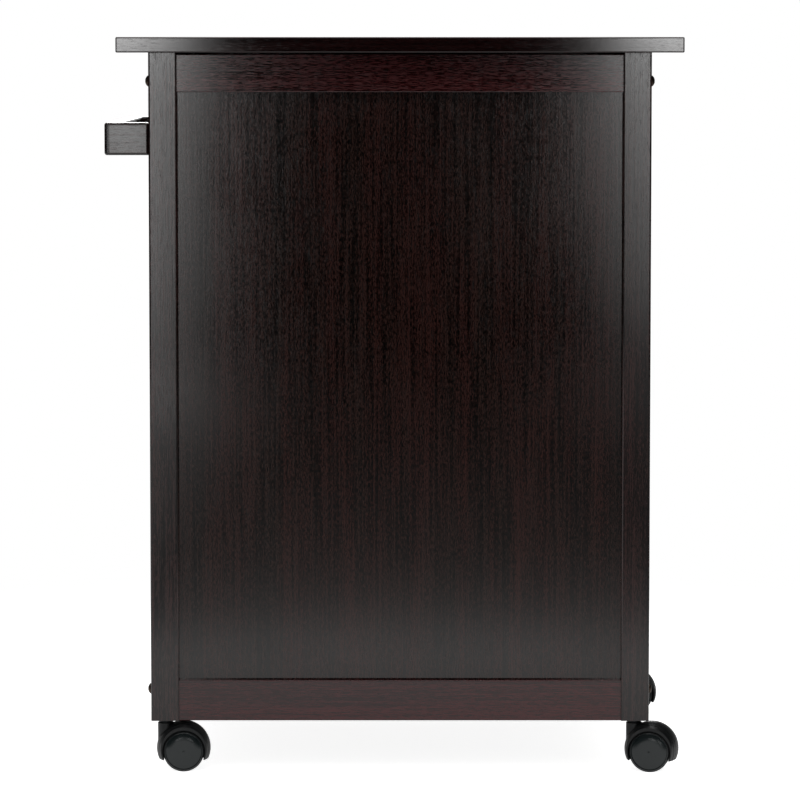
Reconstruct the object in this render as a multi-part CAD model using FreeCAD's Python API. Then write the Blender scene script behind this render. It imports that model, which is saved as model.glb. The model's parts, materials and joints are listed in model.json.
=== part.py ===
import FreeCAD, Part
import math
import os

os.makedirs("parts", exist_ok=True)

Vector = FreeCAD.Vector

# Kitchen cart in millimetres. X runs across it, Y from the doors to the back
# panel and Z up from the floor. The towel bar is on the right, at +X.
LEFT, RIGHT = -1, 1
FRONT, BACK = -1, 1
SIDES = (LEFT, RIGHT)
ENDS = (FRONT, BACK)
X_AXIS, Y_AXIS, Z_AXIS = Vector(1, 0, 0), Vector(0, 1, 0), Vector(0, 0, 1)

# Worktop and overall height
cart_height = 864.0
worktop_width = 660.0
worktop_depth = 480.0
worktop_thickness = 18.0
worktop_easing = 1.5

# Body inside the four posts
body_width = 587.0
body_depth = 440.0
body_clearance = 60.0
post_section = 33.0
post_easing = 2.0

# Rails, set back from the faces of the posts
rail_thickness = 18.0
rail_recess = 3.0
rail_easing = 1.0
top_rail_height = 44.0
top_rail_gap = 2.0
bottom_rail_height = 48.0
middle_rail_height = 28.0
middle_rail_depth = 50.0
drawer_opening_height = 150.0

# Plywood panels in grooves
ply_thickness = 5.0
panel_recess = 12.0
groove_depth = 5.0
groove_end_gap = 0.4
groove_side_gap = 0.1
board_gap = 0.4

# Knock-down bolts with barrel nuts
bolt_radius = 3.0
bolt_length = 68.0
bolt_clearance = 0.3
bolt_head_radius = 6.3
bolt_head_height = 4.2
bolt_head_edge = 1.2
bolt_socket_width = 4.0
bolt_socket_depth = 2.2
upper_bolt_drop = 33.0
lower_bolt_rise = 37.0
barrel_nut_radius = 5.0
barrel_nut_length = 13.0
barrel_nut_setback = 28.0
barrel_nut_slot = 1.2
thread_gap = 0.05

# Dowels, glued
dowel_radius = 3.0
dowel_length = 24.0
dowel_in_post = 8.0
dowel_chamfer = 0.8
dowel_spacing_side = 22.0
dowel_edge_distance = 12.0
lower_dowel_rise = 24.0
upper_dowel_drop = 16.0
arm_dowel_spacing = 19.0
glue_gap = 0.05
hole_end_gap = 0.5

# Wood screws with countersunk heads
screw_radius = 2.0
screw_length = 25.0
screw_head_radius = 4.0
screw_head_height = 2.4
screw_point_length = 4.0
screw_recess_width = 1.0
screw_recess_depth = 1.2
cleat_width = 12.0
cleat_height = 14.0
cleat_screw_spacing = 140.0

# Shelf on pins
shelf_thickness = 15.0
shelf_height = 350.0
shelf_side_gap = 1.0
shelf_back_gap = 4.0
shelf_door_gap = 3.0
shelf_easing = 1.0
shelf_pin_radius = 2.5
shelf_pin_length = 16.0
shelf_pin_depth = 9.0
shelf_pin_inset = 6.0
shelf_hole_step = 32.0

# Towel bar and its two arms
bar_reach = 51.6
bar_height = 38.0
bar_drop = 81.5
bar_thickness = 18.5
bar_lap = 5.0
bar_easing = 3.0

# Inset drawer on wooden runners
front_recess = 2.0
front_thickness = 18.0
front_gap = 2.0
front_easing = 1.0
drawer_side_gap = 5.0
drawer_side_thickness = 12.0
drawer_side_height = 105.0
drawer_side_rise = 6.0
drawer_back_gap = 33.0
drawer_back_drop = 6.0
drawer_housing = 6.0
drawer_back_housing = 4.0
drawer_bottom_rise = 10.0
runner_height = 12.0
runner_rise = 50.0
runner_engagement = 5.5
runner_screw_inset = 6.0
runner_groove_depth = 6.0
runner_groove_gap = 0.6
runner_end_gap = 1.0

# Framed doors
door_hinge_gap = 2.2
door_meeting_gap = 3.0
stile_width = 45.0
door_panel_recess = 6.0
door_groove_depth = 8.0
door_knob_drop = 140.0

# Turned knobs with a spigot
knob_projection = 21.0
knob_radius = 14.0
knob_dome = 5.0
knob_rim = 4.0
knob_foot_radius = 8.0
knob_neck_radius = 6.0
knob_foot_height = 2.0
knob_spigot_radius = 3.0
knob_spigot_length = 12.0
drawer_knob_spacing = 260.0

# Butt hinges
hinge_height = 50.0
hinge_leaf_thickness = 1.0
hinge_knuckle_radius = 3.0
hinge_pin_radius = 1.5
hinge_running_gap = 0.05
hinge_knuckle_gap = 0.4
hinge_face_gap = 0.3
hinge_leaf_setback = 1.0
hinge_from_end = 70.0
hinge_pin_head_radius = 2.2
hinge_pin_head_height = 1.0

# Magnetic catch and strike plates
catch_width = 52.0
catch_depth = 18.0
catch_height = 14.0
catch_easing = 1.5
catch_slot_width = 16.0
catch_slot_depth = 1.0
catch_slot_height = 8.0
strike_width = 20.0
strike_height = 10.0
strike_thickness = 1.0
strike_from_middle = 14.0
strike_easing = 0.3
strike_contact_gap = 0.1

# Casters with two wheels under a hood
wheel_radius = 24.0
wheel_tread_easing = 1.5
wheel_inner_face = 5.9
wheel_outer_face = 20.6
wheel_disc_radius = 21.5
wheel_disc_step = 0.8
wheel_disc_dome = 3.0
wheel_disc_thickness = 2.6
wheel_rim_thickness = 3.2
wheel_hub_radius = 8.0
axle_radius = 3.0
axle_half_length = 17.0
axle_gap = 0.05
axle_chamfer = 0.5
hood_half_width = 22.0
hood_crown_radius = 31.8
hood_rim_radius = 27.0
hood_lift = 2.0
hood_chamber_radius = 25.2
hood_web_half = 5.5
hood_skirt_height = 14.0
hood_axle_boss_radius = 9.0
hood_boss_radius = 9.5
hood_boss_easing = 1.0
hood_boss_foot = 29.0
hood_rib_width = 1.2
hood_rib_depth = 0.8
hood_rib_spacing = 5.5
trail = 21.0
# Way each caster stands at rest, in degrees from trailing straight to the left
headings = {"front_left": 8.0, "front_right": -6.0, "back_left": -12.0, "back_right": 2.5}
socket_radius = 7.0
socket_length = 28.0
socket_flange_radius = 11.0
socket_flange_height = 1.2
stem_radius = 5.5
stem_length = 22.0
stem_gap = 0.05
stem_chamfer = 1.0
collar_radius = 8.0
collar_height = 2.0
spindle_radius = 4.0
spindle_foot = 34.0
spindle_ring_radius = 4.5
spindle_ring_height = 2.0
swivel_gap = 0.06
thrust_gap = 0.1

# Length by which every cut runs past the face it opens
overrun = 5.0

# Places worked out from the sizes above
body_half_x = body_width / 2
body_half_y = body_depth / 2
post_top = cart_height - worktop_thickness
post_inner_x = body_half_x - post_section
post_inner_y = body_half_y - post_section
post_centre_x = body_half_x - post_section / 2
post_centre_y = body_half_y - post_section / 2
rail_outer_y = body_half_y - rail_recess
rail_inner_y = rail_outer_y - rail_thickness
rail_centre_y = rail_outer_y - rail_thickness / 2
side_rail_outer_x = body_half_x - rail_recess
side_rail_inner_x = side_rail_outer_x - rail_thickness
side_rail_centre_x = side_rail_outer_x - rail_thickness / 2
panel_outer_x = body_half_x - panel_recess
panel_inner_x = panel_outer_x - ply_thickness
panel_outer_y = body_half_y - panel_recess
panel_inner_y = panel_outer_y - ply_thickness
drawer_back_end = panel_inner_y - drawer_back_gap
bottom_rail_top = body_clearance + bottom_rail_height
top_rail_top = post_top - top_rail_gap
top_rail_bottom = top_rail_top - top_rail_height
top_rail_tops = {FRONT: post_top, BACK: top_rail_top}
panel_low = bottom_rail_top - groove_depth
panel_high = top_rail_bottom + groove_depth
middle_rail_top = top_rail_bottom - drawer_opening_height
middle_rail_bottom = middle_rail_top - middle_rail_height
front_outer_y = -(body_half_y - front_recess)
front_inner_y = front_outer_y + front_thickness
bar_top = post_top - bar_drop
bar_bottom = bar_top - bar_height
bar_outer_x = body_half_x + bar_reach
bar_inner_x = bar_outer_x - bar_thickness
arm_end_x = bar_outer_x - bar_lap
centre_shift = (worktop_width / 2 - bar_outer_x) / 2


# Shapes shared by many pieces

def block(x_ends, y_ends, z_ends):
    """A box between two x, two y and two z values, each pair in either order."""
    low = Vector(min(x_ends), min(y_ends), min(z_ends))
    size = Vector(max(x_ends), max(y_ends), max(z_ends)) - low
    return Part.makeBox(size.x, size.y, size.z, low)


def runs_along(edge, axis):
    """True where a straight edge runs along an axis."""
    first, last = edge.Vertexes[0].Point, edge.Vertexes[-1].Point
    return (last - first).cross(axis).Length < (last - first).Length * math.sin(math.radians(1))


def eased(solid, radius, *axes):
    """Round the edges of a block that run along the given axes."""
    edges = [edge for edge in solid.Edges if any(runs_along(edge, axis) for axis in axes)]
    return solid.makeFillet(radius, edges)


def placed(shape, point, direction):
    """Move a shape drawn along +Z so that its axis starts at a point along a direction."""
    moved = shape.copy()
    moved.Placement = FreeCAD.Placement(point, FreeCAD.Rotation(Z_AXIS, direction))
    return moved


def rod(point, direction, length, radius):
    """A round bar or hole."""
    return Part.makeCylinder(radius, length, point, direction)


def turned(*steps):
    """Revolve a closed outline of (radius, height) points about Z.

    A step that holds two points is an arc through the first to the second.
    """
    def point(pair):
        return Vector(pair[0], 0, pair[1])

    here = first = point(steps[0])
    edges = []
    for step in steps[1:] + (steps[0],):
        if isinstance(step[0], tuple):
            middle, end = point(step[0]), point(step[1])
            edges.append(Part.Arc(here, middle, end).toShape())
        else:
            end = point(step)
            edges.append(Part.makeLine(here, end))
        here = end
    outline = Part.Wire(edges)
    return Part.Face(outline).revolve(first * 0, Z_AXIS, 360)


def dome_middle(radius, rise):
    """Radius and drop from the top, halfway along a dome's arc from top to edge."""
    ball = (radius ** 2 + rise ** 2) / (2 * rise)
    angle = math.asin(radius / ball) / 2
    return ball * math.sin(angle), ball * (1 - math.cos(angle))


def fused(first, *others):
    """Join solids into one and drop the seams between them."""
    return first.fuse(list(others)).removeSplitter()


def cut_by(piece, cutters):
    """Cut a piece with those of the cutters that reach it."""
    near = [cutter for cutter in cutters if cutter.BoundBox.intersect(piece.BoundBox)]
    return piece.cut(near) if near else piece


def save(name, *shapes):
    """Write one node, moved so that the cart's bounding box is centred on the origin."""
    solids = [solid for shape in shapes for solid in shape.Solids]
    node = solids[0] if len(solids) == 1 else Part.makeCompound(solids)
    node = node.copy()
    node.translate(X_AXIS * centre_shift)
    node.exportStep("parts/" + name + ".step")


# Fasteners: where each stands, its solid and the hole that it needs

def bolt_places():
    """Head faces of the knock-down bolts, and their directions."""
    heights = (body_clearance + lower_bolt_rise, post_top - upper_bolt_drop)
    return [(Vector(side * body_half_x, end * rail_centre_y, height), X_AXIS * -side)
            for side in SIDES for end in ENDS for height in heights]


def bolt():
    """Domed bolt with a hexagon socket. Its head lies below Z zero."""
    rise = bolt_head_height - bolt_head_edge
    middle, drop = dome_middle(bolt_head_radius, rise)
    body = turned((0, -bolt_head_height),
                  ((middle, drop - bolt_head_height), (bolt_head_radius, -bolt_head_edge)),
                  (bolt_head_radius, 0), (bolt_radius, 0), (bolt_radius, bolt_length), (0, bolt_length))
    corner = bolt_socket_width / math.sqrt(3)
    ring = [Vector(corner * math.cos(math.radians(turn)), corner * math.sin(math.radians(turn)),
                   -bolt_head_height - overrun) for turn in range(0, 361, 60)]
    socket = Part.Face(Part.makePolygon(ring)).extrude(Z_AXIS * (overrun + bolt_socket_depth))
    return body.cut(socket)


def bolt_holes():
    length = bolt_length + overrun + hole_end_gap
    return [rod(point - direction * overrun, direction, length, bolt_radius + bolt_clearance)
            for point, direction in bolt_places()]


def nut_places():
    """Outer ends of the barrel nuts, which lie across the bolts inside the rails."""
    places = []
    for point, direction in bolt_places():
        end = BACK if point.y > 0 else FRONT
        across = direction * (post_section + barrel_nut_setback)
        face = Vector(point.x, end * rail_inner_y, point.z) + across
        places.append((face + Y_AXIS * (end * hole_end_gap), Y_AXIS * end, across))
    return places


def barrel_nuts():
    """Round nuts with a cross bore for the bolt and a slot to turn them by."""
    nuts = []
    bores = [rod(point - direction * overrun, direction, bolt_length + overrun * 2, bolt_radius + thread_gap)
             for point, direction in bolt_places()]
    for point, direction, across in nut_places():
        nut = rod(point, direction, barrel_nut_length, barrel_nut_radius)
        slot = block((point.x - barrel_nut_radius, point.x + barrel_nut_radius),
                     (point.y - direction.y * overrun, point.y + direction.y * barrel_nut_slot),
                     (point.z - barrel_nut_slot / 2, point.z + barrel_nut_slot / 2))
        nuts.append(cut_by(nut.cut(slot), bores))
    return nuts


def nut_holes():
    return [rod(point - direction * overrun, direction, barrel_nut_length + overrun + hole_end_gap,
                barrel_nut_radius + glue_gap) for point, direction, across in nut_places()]


def dowel_places():
    """Ends of the dowels inside the posts, and their directions out of the posts."""
    places = []
    deep_x, deep_y = post_inner_x + dowel_in_post, post_inner_y + dowel_in_post
    side_rail_heights = [low + rise for low in (body_clearance, top_rail_bottom)
                         for rise in (dowel_edge_distance, dowel_edge_distance + dowel_spacing_side)]
    cross_rail_heights = (body_clearance + lower_dowel_rise, post_top - upper_dowel_drop)
    middle_height = (middle_rail_top + middle_rail_bottom) / 2
    first_y = rail_outer_y - dowel_radius * 2
    for side in SIDES:
        for end in ENDS:
            for height in side_rail_heights:
                places.append((Vector(side * side_rail_centre_x, end * deep_y, height), Y_AXIS * -end))
            for height in cross_rail_heights:
                places.append((Vector(side * deep_x, end * rail_centre_y, height), X_AXIS * -side))
        for inward in (first_y, first_y - dowel_edge_distance - dowel_radius):
            places.append((Vector(side * deep_x, -inward, middle_height), X_AXIS * -side))
    for end in ENDS:
        for half in (-arm_dowel_spacing / 2, arm_dowel_spacing / 2):
            height = (bar_top + bar_bottom) / 2 + half
            places.append((Vector(body_half_x - dowel_in_post, end * rail_centre_y, height), X_AXIS))
    return places


def dowel():
    """Dowel with chamfered ends."""
    inner = dowel_radius - dowel_chamfer
    return turned((0, 0), (inner, 0), (dowel_radius, dowel_chamfer),
                  (dowel_radius, dowel_length - dowel_chamfer), (inner, dowel_length), (0, dowel_length))


def dowel_holes():
    return [rod(point - direction * hole_end_gap, direction, dowel_length + hole_end_gap * 2,
                dowel_radius + glue_gap) for point, direction in dowel_places()]


def screw_places():
    """Head faces of the screws that hold the worktop and the drawer runners."""
    places = []
    cleat_x = side_rail_inner_x - cleat_width / 2
    runner_face = post_inner_x - drawer_side_gap - runner_engagement
    runner_middle = middle_rail_top + runner_rise + runner_height / 2
    for side in SIDES:
        for step in (FRONT, 0, BACK):
            foot = Vector(side * cleat_x, step * cleat_screw_spacing, post_top - cleat_height)
            places.append((foot, Z_AXIS))
        for end in ENDS:
            y = end * (post_inner_y + runner_screw_inset)
            places.append((Vector(side * runner_face, y, runner_middle), X_AXIS * side))
    return places


def screw(gap):
    """Countersunk screw with its head face at Z zero. The gap makes it a hole instead."""
    shank, head = screw_radius + gap, screw_head_radius + gap
    tip = screw_length + gap
    return turned((0, 0), (head, 0), (shank, screw_head_height), (shank, tip - screw_point_length), (0, tip))


def screws():
    """The screws, with a cross recess in each head."""
    plain = screw(0)
    half, reach = screw_recess_width / 2, screw_head_radius / 2
    for x, y in ((half, reach), (reach, half)):
        plain = plain.cut(block((-x, x), (-y, y), (-overrun, screw_recess_depth)))
    return [placed(plain, point, direction) for point, direction in screw_places()]


def screw_holes():
    return [placed(screw(glue_gap), point, direction) for point, direction in screw_places()]


def shelf_pin_places(height):
    """Inner ends of the shelf pins at one height, and their directions into the posts."""
    x = post_inner_x - (shelf_pin_length - shelf_pin_depth)
    y = post_inner_y + shelf_pin_inset
    return [(Vector(side * x, end * y, height), X_AXIS * side) for side in SIDES for end in ENDS]


def shelf_pins():
    height = shelf_height - shelf_pin_radius
    return [rod(point, direction, shelf_pin_length, shelf_pin_radius)
            for point, direction in shelf_pin_places(height)]


def shelf_pin_holes():
    """Five rows of pin holes, so that the shelf can be moved."""
    middle = shelf_height - shelf_pin_radius
    return [rod(point, direction, shelf_pin_length + hole_end_gap, shelf_pin_radius + glue_gap)
            for row in range(-2, 3) for point, direction in shelf_pin_places(middle + row * shelf_hole_step)]


def caster_places():
    """Name of each caster's corner, and the foot of its swivel axis on the floor."""
    return [(front_or_back + "_" + left_or_right, Vector(side * post_centre_x, end * post_centre_y, 0))
            for front_or_back, end in (("front", FRONT), ("back", BACK))
            for left_or_right, side in (("left", LEFT), ("right", RIGHT))]


def socket_holes():
    return [rod(foot + Z_AXIS * (body_clearance - overrun), Z_AXIS, socket_length + overrun + hole_end_gap,
                socket_radius + glue_gap) for name, foot in caster_places()]


# Wooden frame

def panel_grooves():
    """Grooves for the back panel and the two side panels."""
    tall = (panel_low, panel_high)
    across = (-post_inner_x - groove_depth, post_inner_x + groove_depth)
    along = (-post_inner_y - groove_depth, post_inner_y + groove_depth)
    grooves = [block(across, (panel_inner_y - groove_side_gap, panel_outer_y + groove_side_gap), tall)]
    for side in SIDES:
        faces = (side * (panel_inner_x - groove_side_gap), side * (panel_outer_x + groove_side_gap))
        grooves.append(block(faces, along, tall))
    return grooves


def floor_rabbet():
    """Room for the floor board in the upper inner edges of the bottom rails."""
    heights = (bottom_rail_top - ply_thickness, bottom_rail_top + overrun)
    return block((-panel_inner_x, panel_inner_x), (-panel_inner_y, panel_inner_y), heights)


def worktop():
    half_x, half_y = worktop_width / 2, worktop_depth / 2
    board = block((-half_x, half_x), (-half_y, half_y), (post_top, cart_height))
    return cut_by(eased(board, worktop_easing, X_AXIS, Y_AXIS, Z_AXIS), screw_holes())


def post(side, end, cutters):
    body = block((side * post_inner_x, side * body_half_x), (end * post_inner_y, end * body_half_y),
                 (body_clearance, post_top))
    return cut_by(eased(body, post_easing, Z_AXIS), cutters)


def cross_rail(end, low, high, cutters):
    """A rail between two posts on the front or the back."""
    rail = block((-post_inner_x, post_inner_x), (end * rail_inner_y, end * rail_outer_y), (low, high))
    return cut_by(eased(rail, rail_easing, X_AXIS), cutters)


def side_rail(side, low, high, cutters):
    faces = (side * side_rail_inner_x, side * side_rail_outer_x)
    rail = block(faces, (-post_inner_y, post_inner_y), (low, high))
    return cut_by(eased(rail, rail_easing, Y_AXIS), cutters)


def middle_rail(cutters):
    """Deep rail between the drawer and the doors."""
    depth = (-rail_outer_y, middle_rail_depth - rail_outer_y)
    rail = block((-post_inner_x, post_inner_x), depth, (middle_rail_bottom, middle_rail_top))
    return cut_by(eased(rail, rail_easing, X_AXIS), cutters)


def back_panel():
    half = post_inner_x + groove_depth - groove_end_gap
    return block((-half, half), (panel_inner_y, panel_outer_y), (panel_low, panel_high - groove_end_gap))


def side_panel(side):
    half = post_inner_y + groove_depth - groove_end_gap
    return block((side * panel_inner_x, side * panel_outer_x), (-half, half),
                 (panel_low, panel_high - groove_end_gap))


def floor_board():
    """Floor of the cupboard, notched around the posts."""
    half_x, half_y = panel_inner_x - board_gap, panel_inner_y - board_gap
    heights = (bottom_rail_top - ply_thickness, bottom_rail_top)
    board = block((-half_x, half_x), (-half_y, half_y), heights)
    cut_heights = (body_clearance, bottom_rail_top + overrun)
    notches = [block((side * (post_inner_x - board_gap), side * (half_x + overrun)),
                     (end * (post_inner_y - board_gap), end * (half_y + overrun)), cut_heights)
               for side in SIDES for end in ENDS]
    return board.cut(notches)


def shelf():
    half = post_inner_x - shelf_side_gap
    board = block((-half, half), (front_inner_y + shelf_door_gap, panel_inner_y - shelf_back_gap),
                  (shelf_height, shelf_height + shelf_thickness))
    return eased(board, shelf_easing, X_AXIS)


def cleat(side, cutters):
    """Batten along a side rail, through which the worktop is screwed down."""
    batten = block((side * (side_rail_inner_x - cleat_width), side * side_rail_inner_x),
                   (-post_inner_y, post_inner_y), (post_top - cleat_height, post_top))
    return cut_by(batten, cutters)


def runner(side, cutters):
    """Wooden strip that carries one side of the drawer."""
    half = -front_inner_y - runner_end_gap
    low = middle_rail_top + runner_rise
    strip = block((side * post_inner_x, side * (post_inner_x - drawer_side_gap - runner_engagement)),
                  (-half, half), (low, low + runner_height))
    return cut_by(strip, cutters)


# Towel bar on the right side

def towel_bar():
    """Bar with a lap at each end that covers the end of an arm."""
    bar = block((bar_inner_x, bar_outer_x), (-rail_outer_y, rail_outer_y), (bar_bottom, bar_top))
    bar = eased(bar, bar_easing, X_AXIS, Y_AXIS, Z_AXIS)
    laps = [block((bar_inner_x - overrun, arm_end_x), (end * rail_inner_y, end * (rail_outer_y + overrun)),
                  (bar_bottom - overrun, bar_top + overrun)) for end in ENDS]
    return bar.cut(laps)


def towel_bar_arm(end, cutters):
    """Arm with its edges eased, but square where the bar laps over it."""
    arm = block((body_half_x, arm_end_x + overrun * 2), (end * rail_inner_y, end * rail_outer_y),
                (bar_bottom, bar_top))
    arm = eased(arm, bar_easing, X_AXIS, Z_AXIS)
    waste = block((arm_end_x, arm_end_x + overrun * 3),
                  (end * (rail_inner_y - overrun), end * (rail_outer_y + overrun)),
                  (bar_bottom - overrun, bar_top + overrun))
    return cut_by(arm.cut(waste), cutters)


# Knobs

def knob():
    """Turned knob that stands on Z zero, with a spigot below it."""
    rim_low = knob_projection - knob_dome - knob_rim
    neck_height = (knob_foot_height + rim_low) / 2
    middle, drop = dome_middle(knob_radius, knob_dome)
    dome_edge = (knob_radius, knob_projection - knob_dome)
    return turned((0, -knob_spigot_length), (knob_spigot_radius, -knob_spigot_length),
                  (knob_spigot_radius, 0),
                  (knob_foot_radius, 0), (knob_foot_radius, knob_foot_height),
                  ((knob_neck_radius, neck_height), (knob_radius, rim_low)),
                  dome_edge, ((middle, knob_projection - drop), (0, knob_projection)))


def knob_hole(point):
    return rod(point - Y_AXIS * overrun, Y_AXIS, knob_spigot_length + overrun + hole_end_gap,
               knob_spigot_radius + glue_gap)


# Drawer

drawer_outer_x = post_inner_x - drawer_side_gap
drawer_inner_x = drawer_outer_x - drawer_side_thickness
drawer_low = middle_rail_top + drawer_side_rise
drawer_high = drawer_low + drawer_side_height
drawer_bottom_low = drawer_low + drawer_bottom_rise
drawer_bottom_high = drawer_bottom_low + ply_thickness
drawer_front_low = middle_rail_top + front_gap
drawer_front_high = top_rail_bottom - front_gap


def drawer_bottom_groove():
    half = drawer_inner_x + drawer_housing
    return block((-half, half), (front_inner_y - drawer_housing, drawer_back_end + overrun),
                 (drawer_bottom_low, drawer_bottom_high + groove_side_gap))


def drawer_knob_places():
    height = (drawer_front_low + drawer_front_high) / 2
    return [Vector(side * drawer_knob_spacing / 2, front_outer_y, height) for side in SIDES]


def drawer_front():
    """Front board with housings for the drawer's sides and bottom."""
    half = post_inner_x - front_gap
    board = block((-half, half), (front_outer_y, front_inner_y), (drawer_front_low, drawer_front_high))
    board = eased(board, front_easing, X_AXIS, Z_AXIS)
    housings = [block((side * (drawer_inner_x - glue_gap), side * (drawer_outer_x + glue_gap)),
                      (front_inner_y - drawer_housing, front_inner_y + overrun),
                      (drawer_low, drawer_high + glue_gap)) for side in SIDES]
    knob_holes = [knob_hole(place) for place in drawer_knob_places()]
    return cut_by(board, housings + [drawer_bottom_groove()] + knob_holes)


def drawer_side(side):
    """Side board with grooves for its runner and the bottom, and a rabbet for the back."""
    board = block((side * drawer_inner_x, side * drawer_outer_x),
                  (front_inner_y - drawer_housing, drawer_back_end), (drawer_low, drawer_high))
    low = middle_rail_top + runner_rise
    runner_groove = block((side * (drawer_outer_x - runner_groove_depth), side * (drawer_outer_x + overrun)),
                          (front_inner_y, drawer_back_end + overrun),
                          (low - runner_groove_gap, low + runner_height))
    rabbet = block((side * (drawer_inner_x - overrun), side * (drawer_inner_x + drawer_back_housing)),
                   (drawer_back_end - drawer_side_thickness, drawer_back_end + overrun),
                   (drawer_bottom_high, drawer_high + overrun))
    return board.cut([runner_groove, rabbet, drawer_bottom_groove()])


def drawer_back():
    half = drawer_inner_x + drawer_back_housing
    return block((-half, half), (drawer_back_end - drawer_side_thickness, drawer_back_end),
                 (drawer_bottom_high + groove_side_gap, drawer_high - drawer_back_drop))


def drawer_bottom():
    half = drawer_inner_x + drawer_housing - groove_end_gap
    return block((-half, half), (front_inner_y - drawer_housing + groove_end_gap, drawer_back_end),
                 (drawer_bottom_low, drawer_bottom_high))


# Doors

door_hinge_x = post_inner_x - door_hinge_gap
door_meeting_x = door_meeting_gap / 2
door_low = bottom_rail_top + front_gap
door_high = middle_rail_bottom - front_gap
door_panel_outer_y = front_outer_y + door_panel_recess
door_panel_inner_y = door_panel_outer_y + ply_thickness


def door_knob_place(side):
    return Vector(side * (door_meeting_x + stile_width / 2), front_outer_y, door_high - door_knob_drop)


def door_frame(side):
    """Two grooved stiles and two rails with tongues."""
    depth = (front_outer_y, front_inner_y)
    inner_x = (door_meeting_x + stile_width, door_hinge_x - stile_width)
    tongue = door_groove_depth - groove_end_gap
    tongue_x = (inner_x[0] - tongue, inner_x[1] + tongue)
    groove_x = (side * (inner_x[0] - door_groove_depth), side * (inner_x[1] + door_groove_depth))
    groove_y = (door_panel_outer_y - groove_side_gap, door_panel_inner_y + groove_side_gap)
    stile_groove = block(groove_x, groove_y, (door_low - overrun, door_high + overrun))
    rail_groove = block(groove_x, groove_y, (door_low + stile_width - door_groove_depth,
                                             door_high - stile_width + door_groove_depth))
    pieces = []
    for near, far in ((door_meeting_x, inner_x[0]), (inner_x[1], door_hinge_x)):
        stile = eased(block((side * near, side * far), depth, (door_low, door_high)), front_easing, Z_AXIS)
        pieces.append(cut_by(stile.cut(stile_groove), [knob_hole(door_knob_place(side))]))
    for low, high in ((door_low, door_low + stile_width), (door_high - stile_width, door_high)):
        rail = eased(block((side * inner_x[0], side * inner_x[1]), depth, (low, high)), front_easing, X_AXIS)
        tongue = block((side * tongue_x[0], side * tongue_x[1]),
                       (door_panel_outer_y, door_panel_inner_y), (low, high))
        pieces.append(fused(rail, tongue).cut(rail_groove))
    return pieces


def door_panel(side):
    reach = stile_width - door_groove_depth + groove_end_gap
    return block((side * (door_meeting_x + reach), side * (door_hinge_x - reach)),
                 (door_panel_outer_y, door_panel_inner_y),
                 (door_low + stile_width - door_groove_depth, door_high - reach))


def strike_plate(side):
    """Steel plate on the back of a door, behind the magnetic catch."""
    near = strike_from_middle - strike_width / 2
    top = door_high - strike_thickness
    plate = block((side * near, side * (near + strike_width)),
                  (front_inner_y, front_inner_y + strike_thickness), (top - strike_height, top))
    return eased(plate, strike_easing, X_AXIS, Z_AXIS)


def magnetic_catch():
    """Double catch under the middle rail, with a recess for each magnet."""
    face = front_inner_y + strike_thickness + strike_contact_gap
    low = middle_rail_bottom - catch_height
    body = block((-catch_width / 2, catch_width / 2), (face, face + catch_depth), (low, middle_rail_bottom))
    body = eased(body, catch_easing, Z_AXIS)
    slot_low = low + (catch_height - catch_slot_height) / 2
    half = catch_slot_width / 2
    slots = [block((side * (strike_from_middle - half), side * (strike_from_middle + half)),
                   (face - overrun, face + catch_slot_depth), (slot_low, slot_low + catch_slot_height))
             for side in SIDES]
    return body.cut(slots)


# Butt hinges, with their barrels in front of the posts

hinge_axis_x = post_inner_x - door_hinge_gap / 2
hinge_axis_y = -(body_half_y + hinge_knuckle_radius + hinge_face_gap)
hinge_heights = (door_low + hinge_from_end, door_high - hinge_from_end)


def hinge_leaf(side, middle, on_post):
    """One leaf of a hinge: two knuckles on the post, or one between them on the door."""
    low, high = middle - hinge_height / 2, middle + hinge_height / 2
    third = (hinge_height - hinge_knuckle_gap * 2) / 3
    if on_post:
        spans = ((low, low + third), (high - third, high))
        faces = (side * post_inner_x, side * (post_inner_x - hinge_leaf_thickness))
    else:
        spans = ((low + third + hinge_knuckle_gap, high - third - hinge_knuckle_gap),)
        faces = (side * door_hinge_x, side * (door_hinge_x + hinge_leaf_thickness))
    near_y = -(body_half_y - hinge_knuckle_gap)
    plate = block(faces, (near_y, front_inner_y - hinge_leaf_setback), (low, high))
    pieces = []
    for start, end in spans:
        foot = Vector(side * hinge_axis_x, hinge_axis_y, start)
        pieces.append(block(faces, (hinge_axis_y, near_y), (start, end)))
        pieces.append(rod(foot, Z_AXIS, end - start, hinge_knuckle_radius))
    bore = rod(Vector(side * hinge_axis_x, hinge_axis_y, low - overrun), Z_AXIS, hinge_height + overrun * 2,
               hinge_pin_radius + hinge_running_gap)
    return fused(plate, *pieces).cut(bore)


def hinge_pin(side, middle):
    """Pin with a flat head that rests on the upper knuckle."""
    foot = Vector(side * hinge_axis_x, hinge_axis_y, middle - hinge_height / 2)
    head = rod(foot + Z_AXIS * hinge_height, Z_AXIS, hinge_pin_head_height, hinge_pin_head_radius)
    return fused(rod(foot, Z_AXIS, hinge_height, hinge_pin_radius), head)


# Casters. Each is drawn with its swivel axis on Z and its wheels towards -X.

collar_top = body_clearance - socket_flange_height
collar_bottom = collar_top - collar_height
axle_centre = Vector(-trail, 0, wheel_radius)
crown_centre = axle_centre + Z_AXIS * hood_lift


def caster_socket():
    """Steel sleeve with a flange, pressed into the foot of a post."""
    bore = stem_radius + stem_gap
    bore_top = body_clearance + stem_length + hole_end_gap
    top = body_clearance + socket_length
    return turned((bore, collar_top), (socket_flange_radius, collar_top),
                  (socket_flange_radius, body_clearance), (socket_radius, body_clearance),
                  (socket_radius, top), (0, top), (0, bore_top), (bore, bore_top))


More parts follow.
